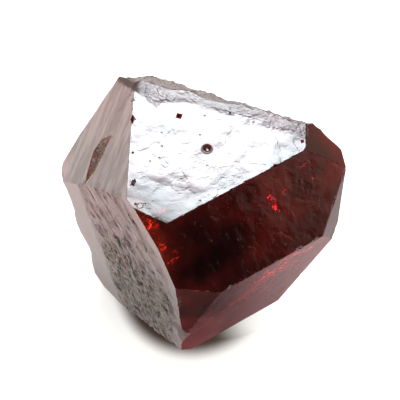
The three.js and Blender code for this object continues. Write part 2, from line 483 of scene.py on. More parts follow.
def relief_group() -> bpy.types.NodeTree:
    """Fine relief that every mineral surface shares, as heights in millimetres.

    Faces carry a slow swell, low growth terraces (whole steps of a noise value, each
    with a short smooth rise) and small round etch pits. Breaks carry streaks along
    one direction, and fibres, grain or crust where their masks say so.

    Returns:
        A group with inputs Position, Wavy, Break, Rim, Fibre, Grainy, Crust and
        Dusty, and outputs Height, Mottle, Slit, Gleam, Shred, Speck and Streak.
    """
    group = bpy.data.node_groups.new("mineral relief", "ShaderNodeTree")
    group.interface.new_socket("Position", in_out="INPUT", socket_type="NodeSocketVector")
    for name in ("Wavy", "Break", "Rim", "Fibre", "Grainy", "Crust", "Dusty"):
        group.interface.new_socket(name, in_out="INPUT", socket_type="NodeSocketFloat")
    for name in ("Height", "Mottle", "Slit", "Gleam", "Shred", "Speck", "Streak"):
        group.interface.new_socket(name, in_out="OUTPUT", socket_type="NodeSocketFloat")
    source = add_node(group, "NodeGroupInput")
    target = add_node(group, "NodeGroupOutput")
    place = source.outputs["Position"]

    swell = noise_node(group, place, 0.38, 2.0, 0.5)
    ripple = noise_node(group, place, 1.6, 3.0, 0.55)
    levels = math_node(group, "MULTIPLY", noise_node(group, place, 0.33, 4.0, 0.55), 8.0)
    rise = step_node(group, math_node(group, "FRACT", levels), 0.0, 0.25)
    terrace = math_node(group, "ADD", math_node(group, "FLOOR", levels), rise)
    cells = add_node(group, "ShaderNodeTexVoronoi")
    cells.inputs["Scale"].default_value = 0.9
    group.links.new(place, cells.inputs["Vector"])
    pit = step_node(group, cells.outputs["Distance"], 0.03, 0.09)

    drawn = run_place(group, place, END_RUN, END_OUT, 0.16)
    streak = noise_node(group, drawn, 2.2, 2.0, 0.6)
    fibre = noise_node(group, drawn, 3.8, 2.0, 0.6)
    shreds = noise_node(group, run_place(group, place, END_RUN, END_OUT, 0.4), 4.4, 2.0, 0.6)
    left = noise_node(group, run_place(group, place, LEFT_RUN, LEFT_OUT, 0.3), 0.8, 4.0, 0.6)
    grain = noise_node(group, place, 6.5, 3.0, 0.6)
    speckle = noise_node(group, place, 3.4, 3.0, 0.6)

    height = math_node(group, "MULTIPLY", swell, 0.045)
    for value, amount in ((ripple, 0.017), (terrace, 0.0045), (pit, 0.010)):
        height = math_node(group, "ADD", height, math_node(group, "MULTIPLY", value, amount))
    for value, mask, amount in (
        (swell, "Wavy", 0.065),
        (streak, "Break", 0.05),
        (grain, "Break", 0.03),
        (fibre, "Fibre", 0.16),
        (shreds, "Grainy", 0.28),
        (grain, "Rim", 0.015),
        (speckle, "Rim", 0.05),
        (grain, "Crust", 0.02),
        (speckle, "Crust", 0.10),
        (left, "Dusty", 0.035),
    ):
        part = math_node(group, "MULTIPLY", source.outputs[mask], amount)
        height = math_node(group, "ADD", height, math_node(group, "MULTIPLY", value, part))
    slit = math_node(group, "MULTIPLY", step_node(group, fibre, 0.39, 0.33), source.outputs["Fibre"])
    group.links.new(height, target.inputs["Height"])
    group.links.new(streak, target.inputs["Mottle"])
    group.links.new(slit, target.inputs["Slit"])
    group.links.new(step_node(group, fibre, 0.50, 0.60), target.inputs["Gleam"])
    group.links.new(step_node(group, shreds, 0.40, 0.54), target.inputs["Shred"])
    group.links.new(step_node(group, grain, 0.42, 0.56), target.inputs["Speck"])
    group.links.new(step_node(group, left, 0.38, 0.62), target.inputs["Streak"])
    return group


# ---------------------------------------------------------------- finishes


# Masks that the crystal's mesh carries as attributes.
MASK_NAMES = (
    "broken", "crust", "rosy", "dusty", "upper", "gouged", "painted_red_glow",
    "grainy", "fibre", "stain", "rim", "brown", "deep", "worn", "under",
)


@dataclass(frozen=True)
class ZirconFinish:
    """See-through brown-red zircon, mirror flat on faces and dull on breaks.

    Attributes:
        ior: index of refraction of zircon.
        clear: share of the light that enters.
        polish: roughness of the smoothest faces.
        absorb_colour: what stays of each colour.
        absorb_density: absorption per metre.
        face_tint: colour under the crystal faces.
        dim_tint: colour under the duller parts of the faces.
        deep_tint: painted shade: dark colour painted in spots on the faces where the stone looks darkest.
        rosy_tint_and_painted_glow: colour under the lower front face, partly the stone's own red and partly
            a painted glow of red light coming out through it.
        break_tint: colour of the broken surfaces.
        gleam_tint: colour of the lightest fibres.
        slit_tint: colour in the slits between fibres.
        dusty_tint: colour under the light streaks of the left faces.
        mauve_tint: colour between those streaks.
        turned_away_shade_tint: painted shade: dull, dark colour of all that is turned away from the main
            camera, which also darkens what is seen through the stone.
        grain_tint: light colour of the grainy olive-brown patch.
        grain_shade: dark colour of that patch.
        crust_tint: light colour of the far slope.
        crust_shade: dark colour of the far slope.
        ochre_tint: light colour in the gouge.
        stain_tint: dark colour in the gouge, at the far rim and round a pit.
        painted_red_glow_tint: painted glow of red light along the upper front edge of the end break.
        rosy_and_glow_share: least share of the rosy colour, and what clouds add to it.
        slit_rough: roughness added in the slits.
        rough_by_mask: roughness added where each mask is.
    """

    ior: float = 1.95
    clear: float = 0.88
    polish: float = 0.085
    absorb_colour: Colour = (0.91, 0.0, 0.45)
    absorb_density: float = 1100.0
    face_tint: Colour = (0.52, 0.045, 0.035)
    dim_tint: Colour = (0.20, 0.022, 0.016)
    deep_tint: Colour = (0.012, 0.002, 0.002)
    rosy_tint_and_painted_glow: Colour = (0.95, 0.20, 0.25)
    break_tint: Colour = (1.0, 0.84, 0.80)
    gleam_tint: Colour = (1.0, 0.97, 0.96)
    slit_tint: Colour = (0.10, 0.04, 0.03)
    dusty_tint: Colour = (1.0, 0.86, 0.80)
    mauve_tint: Colour = (0.42, 0.27, 0.26)
    turned_away_shade_tint: Colour = (0.22, 0.06, 0.05)
    grain_tint: Colour = (1.0, 0.88, 0.72)
    grain_shade: Colour = (0.10, 0.06, 0.03)
    crust_tint: Colour = (1.0, 0.92, 0.90)
    crust_shade: Colour = (0.50, 0.30, 0.27)
    ochre_tint: Colour = (1.0, 0.82, 0.52)
    stain_tint: Colour = (0.28, 0.14, 0.06)
    painted_red_glow_tint: Colour = (0.62, 0.06, 0.02)
    # blush: least share of the rosy colour and its painted glow, and what clouds add to it.
    rosy_and_glow_share: float = 0.45
    slit_rough: float = 0.2
    rough_by_mask: tuple[tuple[str, float], ...] = (
        ("broken", 0.26),
        ("upper", 0.155),
        ("worn", 0.07),
        ("grainy", -0.04),
        ("gouged", 0.3),
        ("brown", 0.4),
        ("dusty", 0.28),
        ("under", 0.38),
    )

    def build(self, relief: bpy.types.NodeTree) -> bpy.types.Material:
        """Make the material.

        Args:
            relief: the shared relief group.

        Returns:
            The finished material.
        """
        material = bpy.data.materials.new("zircon")
        material.use_nodes = True
        tree = material.node_tree
        tree.nodes.clear()
        output = add_node(tree, "ShaderNodeOutputMaterial")
        shader = add_node(tree, "ShaderNodeBsdfPrincipled")
        shader.inputs["IOR"].default_value = self.ior
        shader.inputs["Transmission Weight"].default_value = self.clear
        tree.links.new(shader.outputs["BSDF"], output.inputs["Surface"])
        volume = add_node(tree, "ShaderNodeVolumeAbsorption")
        volume.inputs["Color"].default_value = (*self.absorb_colour, 1.0)
        volume.inputs["Density"].default_value = self.absorb_density
        tree.links.new(volume.outputs["Volume"], output.inputs["Volume"])

        place = object_place(tree, 1)
        masks = {name: mask_from(tree, name) for name in MASK_NAMES}

        fine = add_node(tree, "ShaderNodeGroup")
        fine.node_tree = relief
        tree.links.new(place, fine.inputs["Position"])
        for name, mask in (
            ("Wavy", "upper"),
            ("Break", "broken"),
            ("Rim", "rim"),
            ("Fibre", "fibre"),
            ("Grainy", "grainy"),
            ("Crust", "crust"),
            ("Dusty", "dusty"),
        ):
            tree.links.new(masks[mask], fine.inputs[name])
        slit, speck = fine.outputs["Slit"], fine.outputs["Speck"]

        cloud = step_node(tree, noise_node(tree, place, 0.22, 3.0, 0.6), 0.40, 0.62)
        tint = mix_colours(tree, cloud, self.dim_tint, self.face_tint)
        # Painted glow: red light painted along the upper front edge of the end break.
        tint = mix_colours(tree, masks["painted_red_glow"], tint, self.painted_red_glow_tint)
        # Lower front face: partly the stone's red, partly painted glow of red light, in clouds.
        rosy_and_glow_share = math_node(tree, "MULTIPLY", cloud, self.rosy_and_glow_share)
        rosy_and_glow_share = math_node(tree, "ADD", rosy_and_glow_share, self.rosy_and_glow_share)
        rosy_and_glow_share = math_node(tree, "MULTIPLY", masks["rosy"], rosy_and_glow_share)
        tint = mix_colours(tree, rosy_and_glow_share, tint, self.rosy_tint_and_painted_glow)
        # Painted shade: dark spots where the stone looks darkest.
        tint = mix_colours(tree, masks["deep"], tint, self.deep_tint)
        left = mix_colours(tree, fine.outputs["Streak"], self.mauve_tint, self.dusty_tint)
        tint = mix_colours(tree, masks["dusty"], tint, left)
        # Painted shade: all that is turned away from the main camera is darker.
        tint = mix_colours(tree, masks["under"], tint, self.turned_away_shade_tint)
        broken = mix_colours(tree, fine.outputs["Gleam"], self.break_tint, self.gleam_tint)
        broken = mix_colours(tree, slit, broken, self.slit_tint)
        tint = mix_colours(tree, masks["broken"], tint, broken)
        grain = mix_colours(tree, fine.outputs["Shred"], self.grain_shade, self.grain_tint)
        tint = mix_colours(tree, masks["grainy"], tint, grain)
        crust = mix_colours(tree, speck, self.crust_shade, self.crust_tint)
        tint = mix_colours(tree, masks["crust"], tint, crust)
        tint = mix_colours(tree, masks["brown"], tint, self.stain_tint)
        ochre = mix_colours(tree, speck, self.stain_tint, self.ochre_tint)
        gouge = math_node(tree, "MAXIMUM", masks["stain"], masks["gouged"])
        tint = mix_colours(tree, gouge, tint, ochre)
        tree.links.new(tint, shader.inputs["Base Color"])

        rough = math_node(tree, "MULTIPLY", slit, self.slit_rough)
        rough = math_node(tree, "ADD", rough, self.polish)
        for name, amount in self.rough_by_mask:
            part = math_node(tree, "MULTIPLY", masks[name], amount)
            rough = math_node(tree, "ADD", rough, part)
        tree.links.new(rough, shader.inputs["Roughness"])

        bump = add_node(tree, "ShaderNodeBump")
        bump.inputs["Strength"].default_value = 1.0
        bump.inputs["Distance"].default_value = MM
        tree.links.new(fine.outputs["Height"], bump.inputs["Height"])
        tree.links.new(bump.outputs["Normal"], shader.inputs["Normal"])
        return material


@dataclass(frozen=True)
class CrackFinish:
    """Bright inner crack: a thin gap inside the stone that throws light back.

    Attributes:
        colour: colour of the light it throws back.
        roughness: spread of that light.
        dulled: brightness of its dullest parts against the colour.
    """

    colour: Colour = (1.0, 0.82, 0.78)
    roughness: float = 0.13
    dulled: float = 0.6

    def build(self, relief: bpy.types.NodeTree) -> bpy.types.Material:
        """Make the material.

        Args:
            relief: the shared relief group.

        Returns:
            The finished material.
        """
        material = bpy.data.materials.new("inner crack")
        material.use_nodes = True
        tree = material.node_tree
        shader = tree.nodes["Principled BSDF"]
        shader.inputs["Metallic"].default_value = 1.0
        shader.inputs["Roughness"].default_value = self.roughness
        place = object_place(tree, 3)
        fine = add_node(tree, "ShaderNodeGroup")
        fine.node_tree = relief
        fine.inputs["Break"].default_value = 1.0
        tree.links.new(place, fine.inputs["Position"])
        dull = tuple(self.dulled * value for value in self.colour)
        tint = mix_colours(tree, fine.outputs["Mottle"], dull, self.colour)
        tree.links.new(tint, shader.inputs["Base Color"])
        return material


@dataclass(frozen=True)
class FloorFinish:
    """Matt white table with a painted contact shade and its own colours in reflections.

    Attributes:
        colour: its colour.
        mirrored: its painted colour in reflections, darker than the camera sees it.
        bright: its painted, lighter colour in reflections towards the back.
        bright_span: where along Y that begins and where it is full, in metres.
        shaded: its painted shade in reflections, on the shaded side of the stone.
        shade_middle: middle of that shade on the table, in metres.
        shade_reach: radii where the shade starts to fade and where it ends.
        contact: near-black contact shadow painted where the stone stands.
        contact_reach: how near the stone has to be for that shade, in metres.
        contact_middle: middle of the contact shade, in metres.
        contact_span: radii where that shade starts to fade and where it ends.
        contact_end: where along X that shade starts to fade and where it ends.
        contact_steps: openness at which the shade is full and where it ends.
        contact_samples: rays that measure that openness.
        roughness: its roughness.
        specular: strength of its gloss.
    """

    colour: Colour = (0.93, 0.94, 0.92)
    mirrored: Colour = (0.62, 0.57, 0.56)
    bright: Colour = (0.78, 0.71, 0.665)
    bright_span: tuple[float, float] = (-0.004, 0.006)
    shaded: Colour = (0.08, 0.07, 0.065)
    shade_middle: tuple[float, float] = (-0.009, -0.022)
    shade_reach: tuple[float, float] = (0.008, 0.023)
    contact: Colour = (0.085, 0.06, 0.045)
    contact_reach: float = 0.008
    contact_middle: tuple[float, float] = (-0.0016, -0.0014)
    contact_span: tuple[float, float] = (0.0050, 0.0066)
    contact_end: tuple[float, float] = (-0.0024, 0.0012)
    contact_steps: tuple[float, float] = (0.7, 0.97)
    contact_samples: int = 12
    roughness: float = 0.9
    specular: float = 0.1

    def build(self) -> bpy.types.Material:
        """Make the material."""
        material = bpy.data.materials.new("white table")
        material.use_nodes = True
        shader = material.node_tree.nodes["Principled BSDF"]
        tree = material.node_tree
        near = add_node(tree, "ShaderNodeAmbientOcclusion", samples=self.contact_samples)
        near.inputs["Distance"].default_value = self.contact_reach
        open_sky = step_node(tree, near.outputs["AO"], *self.contact_steps)
        path = add_node(tree, "ShaderNodeLightPath")
        coordinates = add_node(tree, "ShaderNodeTexCoord")
        spans = []
        for middle in (self.contact_middle, self.shade_middle):
            span = add_node(tree, "ShaderNodeVectorMath", operation="DISTANCE")
            tree.links.new(coordinates.outputs["Object"], span.inputs[0])
            span.inputs[1].default_value = (*middle, 0.0)
            spans.append(span.outputs["Value"])
        away = step_node(tree, spans[0], *self.contact_span)
        parts = add_node(tree, "ShaderNodeSeparateXYZ")
        tree.links.new(coordinates.outputs["Object"], parts.inputs[0])
        beyond = step_node(tree, parts.outputs["X"], *self.contact_end)
        clear = math_node(tree, "MAXIMUM", math_node(tree, "MAXIMUM", away, beyond), open_sky)
        # Painted contact shadow close round the stone.
        tint = mix_colours(tree, clear, self.contact, self.colour)
        # Painted reflection colours: darker, lighter towards the back, and painted shade on one side.
        fade = step_node(tree, spans[1], *self.shade_reach)
        backward = step_node(tree, parts.outputs["Y"], *self.bright_span)
        mirrored = mix_colours(tree, backward, self.mirrored, self.bright)
        mirrored = mix_colours(tree, fade, self.shaded, mirrored)
        tint = mix_colours(tree, path.outputs["Is Glossy Ray"], tint, mirrored)
        tree.links.new(tint, shader.inputs["Base Color"])
        shader.inputs["Roughness"].default_value = self.roughness
        shader.inputs["Specular IOR Level"].default_value = self.specular
        return material


# ---------------------------------------------------------------- the crystal


@dataclass
class Plane:
    """A flat surface of the crystal.

    Attributes:
        normal: outward unit normal.
        distance: millimetres from the crystal's centre.
    """

    normal: Array
    distance: float

    def height(self, points: Array) -> Array:
        """Signed distance of each point beyond the plane."""
        return points @ self.normal - self.distance


@dataclass
class Crystal:
    """The zircon crystal: its solid, worked up to the finish of the real surface.

    Attributes:
        node: name of the CAD solid.
        centre: the crystal's own centre in the part's frame, in millimetres.
        coarse: longest triangle side on a flat face.
        fine: longest triangle side on a break and along an edge.
        edge_band: how far the fine mesh reaches from an edge.
        edge_bite: deepest nick in a sharp edge.
        faces: the flat surfaces.
        by_index: the crystal faces by Miller index.
        front_faces: the faces that meet the smooth margin of the end break.
        end_break: plane of the end break.
        far_break: plane of the far slope.
        gouge_centre: middle of the gouge in the left face.
        camera_out: direction to the main camera; what is turned away from it is rougher and painted darker
            as shade.
        end_band: how far the end break's surface strays from its plane.
        end_cosine: least cosine between its triangles' normals and the plane's.
        far_band: how far the far slope strays from its plane.
        far_cosine: least cosine between its triangles' normals and the plane's.
        cut_rounds: most times the triangles are cut.
        hidden_side: longest side on a hidden break, in fine sides.
        mark_side: longest side on a mark, in fine sides.
        beside_side: longest side beside the end break's front edge, in fine sides.
        pit_side: longest side near a pit, in fine sides.
        beside_band: how far from the end break's plane that stretch reaches.
        beside_level: height over which that stretch begins.
        pit_reach: how far the finer mesh reaches from a pit's middle.
        pit_guard: how near a pit marks keep their depth.
        held_gap: how near a flat face a point lies that stays on it.
        settle_rounds: how often moves are taken off so that points stay on faces.
        edge_round: depth taken off every sharp edge.
        turned_away: cosine with camera_out under which a triangle is turned away.
        worn_spots: x, y and radius of the worn spots of the upper face.
        mark_level: height over which all that isn't flat is a mark of the upper face.
        mark_depth: depth up to which a mark of the upper face is made shallower.
        mark_fill: share of that depth taken away.
        gouge_reach: how far the gouge reaches from its middle.
        flat_gap: how near a triangle on a flat face lies to it.
        flat_cosine: least cosine between such a triangle's normal and the face's.
        sharp_cosine: cosine under which a bend is a sharp edge.
        rest_level: height under which edges aren't nicked, so the stone rests flat.
        square_pit: middle of the square pit in the upper face.
        round_pit: middle of the round pit in the upper face.
        painted_shade_spots: middle, radius and strength of the spots of painted shade on the faces.
    """

    node: str = "zircon_crystal"
    centre: Triple = CENTRE
    coarse: float = 0.5
    fine: float = 0.2
    edge_band: float = 0.2
    edge_bite: float = 0.07
    faces: list[Plane] = field(default_factory=list)
    by_index: dict[tuple[int, int, int], Plane] = field(default_factory=dict)
    front_faces: tuple[tuple[int, int, int], ...] = ((1, 0, 0), (2, 1, -1), (1, -1, 0))
    end_break: Plane = field(
        default_factory=lambda: Plane(unit(END_OUT), 7.29)
    )
    far_break: Plane = field(
        default_factory=lambda: Plane(unit((0.598, 0.545, 0.588)), 8.55)
    )
    gouge_centre: Triple = (-5.6, 4.55, 5.87)
    camera_out: Triple = (-0.232, -0.389, 0.891)
    end_band: float = 1.2
    end_cosine: float = 0.15
    far_band: float = 0.7
    far_cosine: float = 0.75
    cut_rounds: int = 14
    hidden_side: float = 3.0
    mark_side: float = 2.0
    beside_side: float = 1.5
    pit_side: float = 0.7
    beside_band: float = 1.9
    beside_level: float = 7.0
    pit_reach: float = 0.8
    pit_guard: float = 0.6
    held_gap: float = 0.004
    settle_rounds: int = 6
    edge_round: float = 0.006
    turned_away: float = -0.02
    worn_spots: tuple[Triple, ...] = ((-1.3, 5.2, 0.8), (5.6, -2.8, 1.1))
    mark_level: float = 10.2
    mark_depth: float = 0.12
    mark_fill: float = 0.93
    gouge_reach: float = 2.9
    flat_gap: float = 0.01
    flat_cosine: float = 0.9995
    sharp_cosine: float = 0.82
    rest_level: float = -10.6
    square_pit: Triple = (-0.49, 1.94, 10.69)
    round_pit: Triple = (-0.24, -1.17, 10.69)
    painted_shade_spots: tuple[tuple[float, float, float, float, float], ...] = (
        (-5.4, -7.1, 8.1, 1.2, 0.85),
        (-4.4, -7.1, 8.1, 1.7, 1.0),
        (-3.0, -7.0, 8.2, 2.0, 1.0),
        (-1.6, -6.6, 8.6, 2.0, 0.92),
        (-3.4, -5.9, 9.3, 1.9, 0.85),
        (-0.4, -5.2, 10.0, 2.4, 0.6),
        (-4.9, -9.0, 4.8, 2.6, 0.9),
        (-5.2, -8.9, 1.0, 1.6, 0.4),
        (-3.2, -8.9, 0.6, 1.8, 0.35),
        (4.4, -5.6, 9.4, 2.8, 0.55),
    )

    def __post_init__(self) -> None:
        """List the flat faces by Miller index and distance."""
        indices = {
            (1, 1, 0): 10.69,
            (1, -1, 0): 8.89,
            (-1, 1, 0): 9.1,
            (-1, -1, 0): 10.72,
            (1, 0, 0): 10.77,
            (0, 1, 0): 11.65,
            (-1, 0, 0): 9.3,
            (2, 1, 1): 12.75,
            (2, -1, 1): 11.27,
            (2, 1, -1): 12.7,
            (0, 1, -1): 9.2,
            (0, -1, 1): 5.8,
        }
        self.by_index = {hkl: Plane(face_normal(*hkl), far) for hkl, far in indices.items()}
        self.faces = list(self.by_index.values())
        self.faces.append(self.through((-0.343, -0.914, 0.218), (-4.06, -8.89, 5.93)))
        self.faces.append(self.through((-0.727, 0.505, 0.464), (-4.25, 5.64, 7.09)))

    def through(
        self, normal: Triple, point: Triple
    ) -> Plane:
        """Make a plane from its normal and a point on it.

        Args:
            normal: outward normal of any length.
            point: a point on the plane.

        Returns:
            The plane.
        """
        direction = unit(normal)
        return Plane(direction, float(direction @ np.asarray(point)))

    def read_solid(self) -> Skin:
        """Read the CAD solid and join the points that share a place.

        Returns:
            The solid's surface, in millimetres from the crystal's centre.
        """
        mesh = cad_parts[self.node].data
        positions = np.empty(len(mesh.vertices) * 3)
        mesh.vertices.foreach_get("co", positions)
        mesh.calc_loop_triangles()
        corners = np.empty(len(mesh.loop_triangles) * 3, dtype=np.int32)
        mesh.loop_triangles.foreach_get("vertices", corners)
        points = positions.reshape(-1, 3) / MM - np.array(self.centre)
        _, first, same = np.unique(
            np.round(points, 4), axis=0, return_index=True, return_inverse=True
        )
        triangles = same.reshape(-1)[corners].reshape(-1, 3)
        a, b, c = triangles.T
        whole = (a != b) & (b != c) & (c != a)
        skin = Skin(points[first], triangles[whole], np.zeros(int(whole.sum()), dtype=int))
        self.sort_surfaces(skin)
        return skin

    def sort_surfaces(self, skin: Skin) -> None:
        """Say of each triangle what made it, from its direction and its place.

        A triangle within a hundredth of a millimetre of a flat face, and square to its
        normal, is that face. Others are the end break, the far break, a hidden break,
        or a mark cut into a face.

        Args:
            skin: the surface; its kinds are replaced.
        """
        normals = skin.triangle_normals()
        middle = skin.points[skin.triangles].mean(axis=1)
        kind = np.full(len(middle), Surface.HIDDEN_BREAK.value)
        top = middle[:, 2] > self.mark_level
        kind[top] = Surface.MARK.value
        gouge = np.linalg.norm(middle - np.array(self.gouge_centre), axis=1) < self.gouge_reach
        kind[gouge] = Surface.MARK.value
        far = (np.abs(self.far_break.height(middle)) < self.far_band) & (
            normals @ self.far_break.normal > self.far_cosine
        )
        kind[far] = Surface.FAR_BREAK.value
        end = (np.abs(self.end_break.height(middle)) < self.end_band) & (
            normals @ self.end_break.normal > self.end_cosine
        )
        kind[end] = Surface.END_BREAK.value
        for plane in self.faces:
            near = np.abs(plane.height(middle)) < self.flat_gap
            flat = near & (normals @ plane.normal > self.flat_cosine)
            kind[flat] = Surface.FACE.value
        skin.kind = kind

    def edge_distance(self, points: Array) -> Array:
        """Distance to the second nearest flat face, which is small near an edge.

        Args:
            points: places on the surface.

        Returns:
            One distance per point.
        """
        spans = np.abs(np.stack([plane.height(points) for plane in self.faces]))
        # The two parts of the left pyramid face meet too flatly to count as an edge.
        left = list(self.by_index).index((0, 1, -1))
        spans[left] = np.minimum(spans[left], spans[-1])
        return np.sort(spans[:-1], axis=0)[1]

    def refine(self, skin: Skin) -> None:
        """Cut the triangles until each is as small as its place asks.

        Args:
            skin: the surface to cut up.
        """
        for _ in range(self.cut_rounds):
            middle = skin.points[skin.triangles].mean(axis=1)
            allowed = np.full(len(middle), self.coarse)
            allowed[self.edge_distance(middle) < self.edge_band] = self.fine
            beside = np.abs(self.end_break.height(middle)) < self.beside_band
            beside &= (middle[:, 2] > self.beside_level) & (middle[:, 1] < 0.0)
            allowed[beside] = self.beside_side * self.fine
            broken = (skin.kind == Surface.END_BREAK.value) | (
                skin.kind == Surface.FAR_BREAK.value
            )
            allowed[broken] = self.fine
            allowed[skin.kind == Surface.HIDDEN_BREAK.value] = self.hidden_side * self.fine
            allowed[skin.kind == Surface.MARK.value] = self.mark_side * self.fine
            allowed[self.pit_distance(middle) < self.pit_reach] = self.pit_side * self.fine
            if not skin.split_long_edges(allowed):
                break

    def pit_distance(self, points: Array) -> Array:
        """Distance to the nearer of the two pits in the upper face.

        Args:
            points: places in millimetres from the centre.

        Returns:
            One distance per point.
        """
        pits = (self.square_pit, self.round_pit)
        spans = [np.linalg.norm(points - np.array(pit), axis=1) for pit in pits]
        return np.minimum(*spans)

    def fibre_mask(self, points: Array) -> Array:
        """Where the end break is fibrous: all but its smooth margin and its lip.

        Args:
            points: places in millimetres from the centre.

        Returns:
            Mask from 0 to 1.
        """
        rims = [self.by_index[key].height(points) for key in self.front_faces]
        wobble = 0.35 * noise(points * 0.9, Seed.MARGIN)
        margin = ramp(-np.max(rims, axis=0) + wobble, 0.5, 1.3)
        lip = ramp(0.85 * (points[:, 1] - 1.0) - 0.5 * (points[:, 2] + 4.0), -0.2, 0.5)
        return margin * (1.0 - lip)

    def brown_mask(self, points: Array) -> Array:
        """Where brown dirt lies: the far rim's outline and round the round pit.

        Args:
            points: places in millimetres from the centre.

        Returns:
            Mask from 0 to 1.
        """
        beyond = [plane.height(points) for plane in self.faces if plane.normal[2] < 0.5]
        outline = ramp(-np.max(beyond, axis=0) + 0.12 * noise(points * 3.0, Seed.OUTLINE), 0.4, 0.12)
        outline *= np.abs(self.far_break.height(points)) < self.far_band
        span = np.linalg.norm(points - np.array(self.round_pit), axis=1)
        ring = ramp(span, 0.44, 0.36) * ramp(span, 0.24, 0.3)
        return np.clip(outline + 0.8 * ring, 0.0, 1.0)

    def painted_red_glow_mask(self, points: Array) -> Array:
        """Where the upper front faces carry a painted red glow beside the end break.

        Args:
            points: places in millimetres from the centre.

        Returns:
            Mask from 0 to 1.
        """
        behind = -self.end_break.height(points) + 0.35 * noise(points * 1.8, Seed.PAINTED_GLOW)
        glow = ramp(behind, 1.25, 0.2) * ramp(points[:, 2], 7.6, 9.4)
        return glow * (0.6 + 0.4 * ramp(noise(points * 2.6, Seed.PAINTED_GLOW_FLECKS), -0.3, 0.4))

    def painted_shade_mask(self, points: Array) -> Array:
        """Painted shade: where the faces are painted dark, in round spots with soft, uneven borders.

        Each spot is its strength times e to the minus squared distance over radius.

        Args:
            points: places in millimetres from the centre.

        Returns:
            Mask from 0 to 1.
        """
        dark = np.zeros(len(points))
        for x, y, z, radius, strength in self.painted_shade_spots:
            span = np.linalg.norm(points - np.array((x, y, z)), axis=1) / radius
            span += 0.35 * noise(points * 0.6, Seed.DARK) + 0.2 * noise(points * 1.7, Seed.FINE_DARK)
            dark = np.maximum(dark, strength * np.exp(-(np.maximum(span, 0.0) ** 2)))
        return dark

    def grain_mask(self, points: Array) -> Array:
        """Where the end break is grainy and olive-brown: a slanting middle patch.

        The patch is the product of four smooth steps, one for each of its sides.

        Args:
            points: places in millimetres from the centre.

        Returns:
            Mask from 0 to 1.
        """
        y, z = points[:, 1], points[:, 2]
        wobble = 0.5 * noise(points * 0.8, Seed.GRAIN_PATCH)
        lower_back = ramp(0.9 * (y - 0.9) - 0.45 * (z + 4.0) + wobble, 0.1, -0.7)
        upper = ramp(z + 0.62 * y + wobble, 2.6, 0.6)
        front = ramp(y + 7.4 + 0.5 * wobble, -0.3, 0.8)
        return lower_back * upper * front

    def end_break_offset(self, points: Array) -> Array:
        """How far the end break's surface stands off its plane, in millimetres.

        Long low streaks run with the ledges, a smooth margin has none of them, and
        grain of two sizes fills the patch from grain_mask.

        Args:
            points: places in millimetres from the centre.

        Returns:
            One height per point.
        """
        y, z = points[:, 1], points[:, 2]
        along = y * 0.95 + z * 0.31
        across = z * 0.95 - y * 0.31
        still = np.zeros_like(y)
        streaks = noise(np.stack([still, along * 0.55, across * 3.6], axis=1), Seed.LEDGE_STREAKS)
        fine_streaks = noise(np.stack([still, along * 1.3, across * 8.0], axis=1), Seed.FINE_STREAKS)
        chips = noise(points * np.array([1.0, 1.6, 3.0]), Seed.LEDGE_CHIPS)
        body = 0.1 + 0.9 * self.fibre_mask(points)
        grain = layered(points * 3.4, Seed.END_GRAIN, 3)
        height = 0.08 * streaks + 0.035 * fine_streaks
        height += 0.10 * ramp(chips, 0.35, 0.75) - 0.04
        return body * height + 0.05 * self.grain_mask(points) * grain

    def far_break_offset(self, points: Array) -> Array:
        """Knobs of the far slope: rounded lumps of three sizes.

        Args:
            points: places in millimetres from the centre.

        Returns:
            One height per point.
        """
        lumps = np.abs(noise(points * 1.7, Seed.LUMPS)) + 0.5 * np.abs(noise(points * 3.9, Seed.SMALL_LUMPS))
        return 0.16 * (lumps - 0.55) + 0.03 * noise(points * 8.0, Seed.SLOPE_GRAIN)

    def hidden_break_offset(self, points: Array) -> Array:
        """Uneven hidden breaks: shallow shells with a little grain."""
        return 0.10 * layered(points * 0.7, Seed.HIDDEN_BREAKS, 4)

    def roughen(self, skin: Skin) -> None:
        """Move the points of the breaks and nick the sharp edges.

        A point moves along the mean normal of the broken triangles round it. Where it
        also touches a flat face, the part of the move that would leave that face is
        taken off, so flat faces stay flat.

        Args:
            skin: the surface to move.
        """
        normals = skin.triangle_normals()
        count = len(skin.points)
        push = np.zeros((count, 3))
        # Rings and scratches lose up to mark_fill of their depth; pits keep theirs.
        depth = -self.by_index[1, 1, 0].height(skin.points)
        shallow = (depth > 0.001) & (depth < self.mark_depth)
        shallow &= skin.points[:, 2] > self.mark_level
        shallow &= self.pit_distance(skin.points) > self.pit_guard
        fading = ramp(depth[shallow], self.mark_depth, 0.07)
        push[shallow, 2] = self.mark_fill * depth[shallow] * fading
        kinds = {
            Surface.END_BREAK: self.end_break_offset,
            Surface.FAR_BREAK: self.far_break_offset,
            Surface.HIDDEN_BREAK: self.hidden_break_offset,
        }
        for surface, offset in kinds.items():
            chosen = skin.kind == surface.value
            mean = np.zeros((count, 3))
            for corner in range(3):
                np.add.at(mean, skin.triangles[chosen, corner], normals[chosen])
            size = np.linalg.norm(mean, axis=1)
            touched = size > 1e-6
            direction = mean[touched] / size[touched][:, None]
            push[touched] += direction * offset(skin.points[touched])[:, None]
        held = [np.abs(plane.height(skin.points)) < self.held_gap for plane in self.faces]
        for _ in range(self.settle_rounds):
            for plane, on_plane in zip(self.faces, held):
                leave = push[on_plane] @ plane.normal
                push[on_plane] -= leave[:, None] * plane.normal
        touching = np.sum(held, axis=0)
        self.nick_edges(skin, push, held, touching)
        skin.points = skin.points + push

